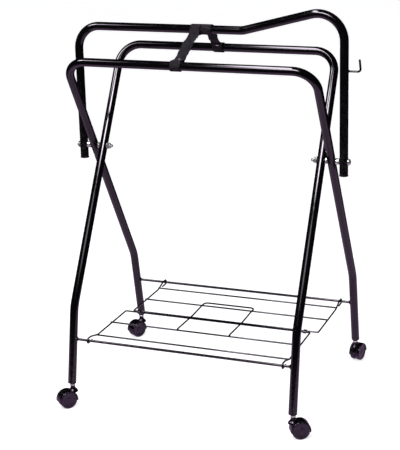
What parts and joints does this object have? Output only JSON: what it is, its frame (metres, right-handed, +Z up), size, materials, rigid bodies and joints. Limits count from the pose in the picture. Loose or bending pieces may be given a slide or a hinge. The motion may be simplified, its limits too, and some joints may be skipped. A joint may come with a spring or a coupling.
{
  "type": "folding saddle rack",
  "caption": "Folding trestle of bent black tube with a raised ridge bar for a saddle, webbing check straps, a folding wire shelf and twin-wheel casters.",
  "frame": {"origin": "on the floor, below the middle of the overall box; the middle of the frames is 10 mm away towards -X, because the bridle hook reaches further out than the bolt heads; the middle of the box is within 2 mm of the origin", "axes": "+Z up; +X along the rails and the ridge, towards the raised pommel end and the bridle hook; +Y to the rear, the side of the outer frame's feet"},
  "size_m": [0.7151, 0.5423, 0.936],
  "materials": {
    "enamel": "glossy black enamel with a faint violet cast",
    "zinc": "bright zinc plate",
    "moulding": "black moulded plastic, satin to gloss",
    "wheel": "hard black plastic, slightly scuffed tread",
    "webbing": "woven charcoal webbing"
  },
  "bodies": {
    "ridge": {"ridge_tube": "enamel", "ridge_end_plug_left": "moulding", "ridge_end_plug_right": "moulding", "bridle_hook": "enamel", "pivot_bolt_right": "zinc", "pivot_head_washer_right": "zinc", "pivot_ridge_spacer_right": "zinc", "pivot_frame_spacer_right": "zinc", "pivot_nut_washer_right": "zinc", "pivot_nut_right": "zinc", "pivot_bolt_left": "zinc", "pivot_head_washer_left": "zinc", "pivot_ridge_spacer_left": "zinc", "pivot_frame_spacer_left": "zinc", "pivot_nut_washer_left": "zinc", "pivot_nut_left": "zinc", "near_strap": "webbing", "far_strap": "webbing"},
    "outer_frame": {"outer_frame_tube": "enamel", "rear_shelf_rod": "enamel", "near_strap_rivet": "zinc", "caster_socket_rear_left": "moulding", "caster_stem_rear_left": "zinc", "caster_socket_rear_right": "moulding", "caster_stem_rear_right": "zinc"},
    "inner_frame": {"inner_frame_tube": "enamel", "front_shelf_rod": "enamel", "far_strap_rivet": "zinc", "caster_socket_front_left": "moulding", "caster_stem_front_left": "zinc", "caster_socket_front_right": "moulding", "caster_stem_front_right": "zinc"},
    "shelf_rear": {"rear_shelf_panel": "enamel", "shelf_hinge_clip_left": "enamel", "shelf_hinge_clip_right": "enamel"},
    "shelf_front": {"front_shelf_panel": "enamel", "shelf_stop_loop": "enamel"},
    "caster_front_left": {"caster_housing_front_left": "moulding", "caster_axle_front_left": "zinc"},
    "wheel_front_left_a": {"caster_wheel_front_left_a": "wheel"},
    "wheel_front_left_b": {"caster_wheel_front_left_b": "wheel"},
    "caster_front_right": {"caster_housing_front_right": "moulding", "caster_axle_front_right": "zinc"},
    "wheel_front_right_a": {"caster_wheel_front_right_a": "wheel"},
    "wheel_front_right_b": {"caster_wheel_front_right_b": "wheel"},
    "caster_rear_left": {"caster_housing_rear_left": "moulding", "caster_axle_rear_left": "zinc"},
    "wheel_rear_left_a": {"caster_wheel_rear_left_a": "wheel"},
    "wheel_rear_left_b": {"caster_wheel_rear_left_b": "wheel"},
    "caster_rear_right": {"caster_housing_rear_right": "moulding", "caster_axle_rear_right": "zinc"},
    "wheel_rear_right_a": {"caster_wheel_rear_right_a": "wheel"},
    "wheel_rear_right_b": {"caster_wheel_rear_right_b": "wheel"}
  },
  "joints": [
    {"name": "fold", "type": "hinge", "parent": "ridge", "child": "outer_frame", "pos_m": [0, 0, 0.59], "axis": [-1, 0, 0], "range_deg": [0, 18], "deforming": ["near_strap"]},
    {"name": "inner_fold", "type": "hinge", "parent": "ridge", "child": "inner_frame", "pos_m": [0, 0, 0.59], "axis": [1, 0, 0], "range_deg": [0, 18], "deforming": ["far_strap"]},
    {"name": "rear_shelf_hinge", "type": "hinge", "parent": "outer_frame", "child": "shelf_rear", "pos_m": [0, 0.2141, 0.166], "axis": [-1, 0, 0], "range_deg": [0, 53.4]},
    {"name": "shelf_mid_hinge", "type": "hinge", "parent": "shelf_rear", "child": "shelf_front", "pos_m": [0, 0, 0.1618], "axis": [1, 0, 0], "range_deg": [0, 142.7]},
    {"name": "swivel_front_left", "type": "hinge", "parent": "inner_frame", "child": "caster_front_left", "pos_m": [-0.286, -0.23076, 0], "axis": [0, 0, 1], "continuous": true},
    {"name": "roll_front_left_a", "type": "hinge", "parent": "caster_front_left", "child": "wheel_front_left_a", "pos_m": [-0.29607, -0.2432, 0.021], "axis": [0.7771, -0.6293, 0], "continuous": true},
    {"name": "roll_front_left_b", "type": "hinge", "parent": "caster_front_left", "child": "wheel_front_left_b", "pos_m": [-0.29607, -0.2432, 0.021], "axis": [0.7771, -0.6293, 0], "continuous": true},
    {"name": "swivel_front_right", "type": "hinge", "parent": "inner_frame", "child": "caster_front_right", "pos_m": [0.266, -0.23076, 0], "axis": [0, 0, 1], "continuous": true},
    {"name": "roll_front_right_a", "type": "hinge", "parent": "caster_front_right", "child": "wheel_front_right_a", "pos_m": [0.27986, -0.22276, 0.021], "axis": [-0.5, 0.866, 0], "continuous": true},
    {"name": "roll_front_right_b", "type": "hinge", "parent": "caster_front_right", "child": "wheel_front_right_b", "pos_m": [0.27986, -0.22276, 0.021], "axis": [-0.5, 0.866, 0], "continuous": true},
    {"name": "swivel_rear_left", "type": "hinge", "parent": "outer_frame", "child": "caster_rear_left", "pos_m": [-0.31, 0.23076, 0], "axis": [0, 0, 1], "continuous": true},
    {"name": "roll_rear_left_a", "type": "hinge", "parent": "caster_rear_left", "child": "wheel_rear_left_a", "pos_m": [-0.318, 0.21691, 0.021], "axis": [0.866, -0.5, 0], "continuous": true},
    {"name": "roll_rear_left_b", "type": "hinge", "parent": "caster_rear_left", "child": "wheel_rear_left_b", "pos_m": [-0.318, 0.21691, 0.021], "axis": [0.866, -0.5, 0], "continuous": true},
    {"name": "swivel_rear_right", "type": "hinge", "parent": "outer_frame", "child": "caster_rear_right", "pos_m": [0.29, 0.23076, 0], "axis": [0, 0, 1], "continuous": true},
    {"name": "roll_rear_right_a", "type": "hinge", "parent": "caster_rear_right", "child": "wheel_rear_right_a", "pos_m": [0.29333, 0.24641, 0.021], "axis": [-0.9781, 0.2079, 0], "continuous": true},
    {"name": "roll_rear_right_b", "type": "hinge", "parent": "caster_rear_right", "child": "wheel_rear_right_b", "pos_m": [0.29333, 0.24641, 0.021], "axis": [-0.9781, 0.2079, 0], "continuous": true}
  ],
  "couplings": [
    {"joint": "inner_fold", "follows": "fold", "ratio": 1},
    {"joint": "rear_shelf_hinge", "follows": "fold", "ratio": 2.9615},
    {"joint": "shelf_mid_hinge", "follows": "fold", "ratio": 7.923}
  ]
}
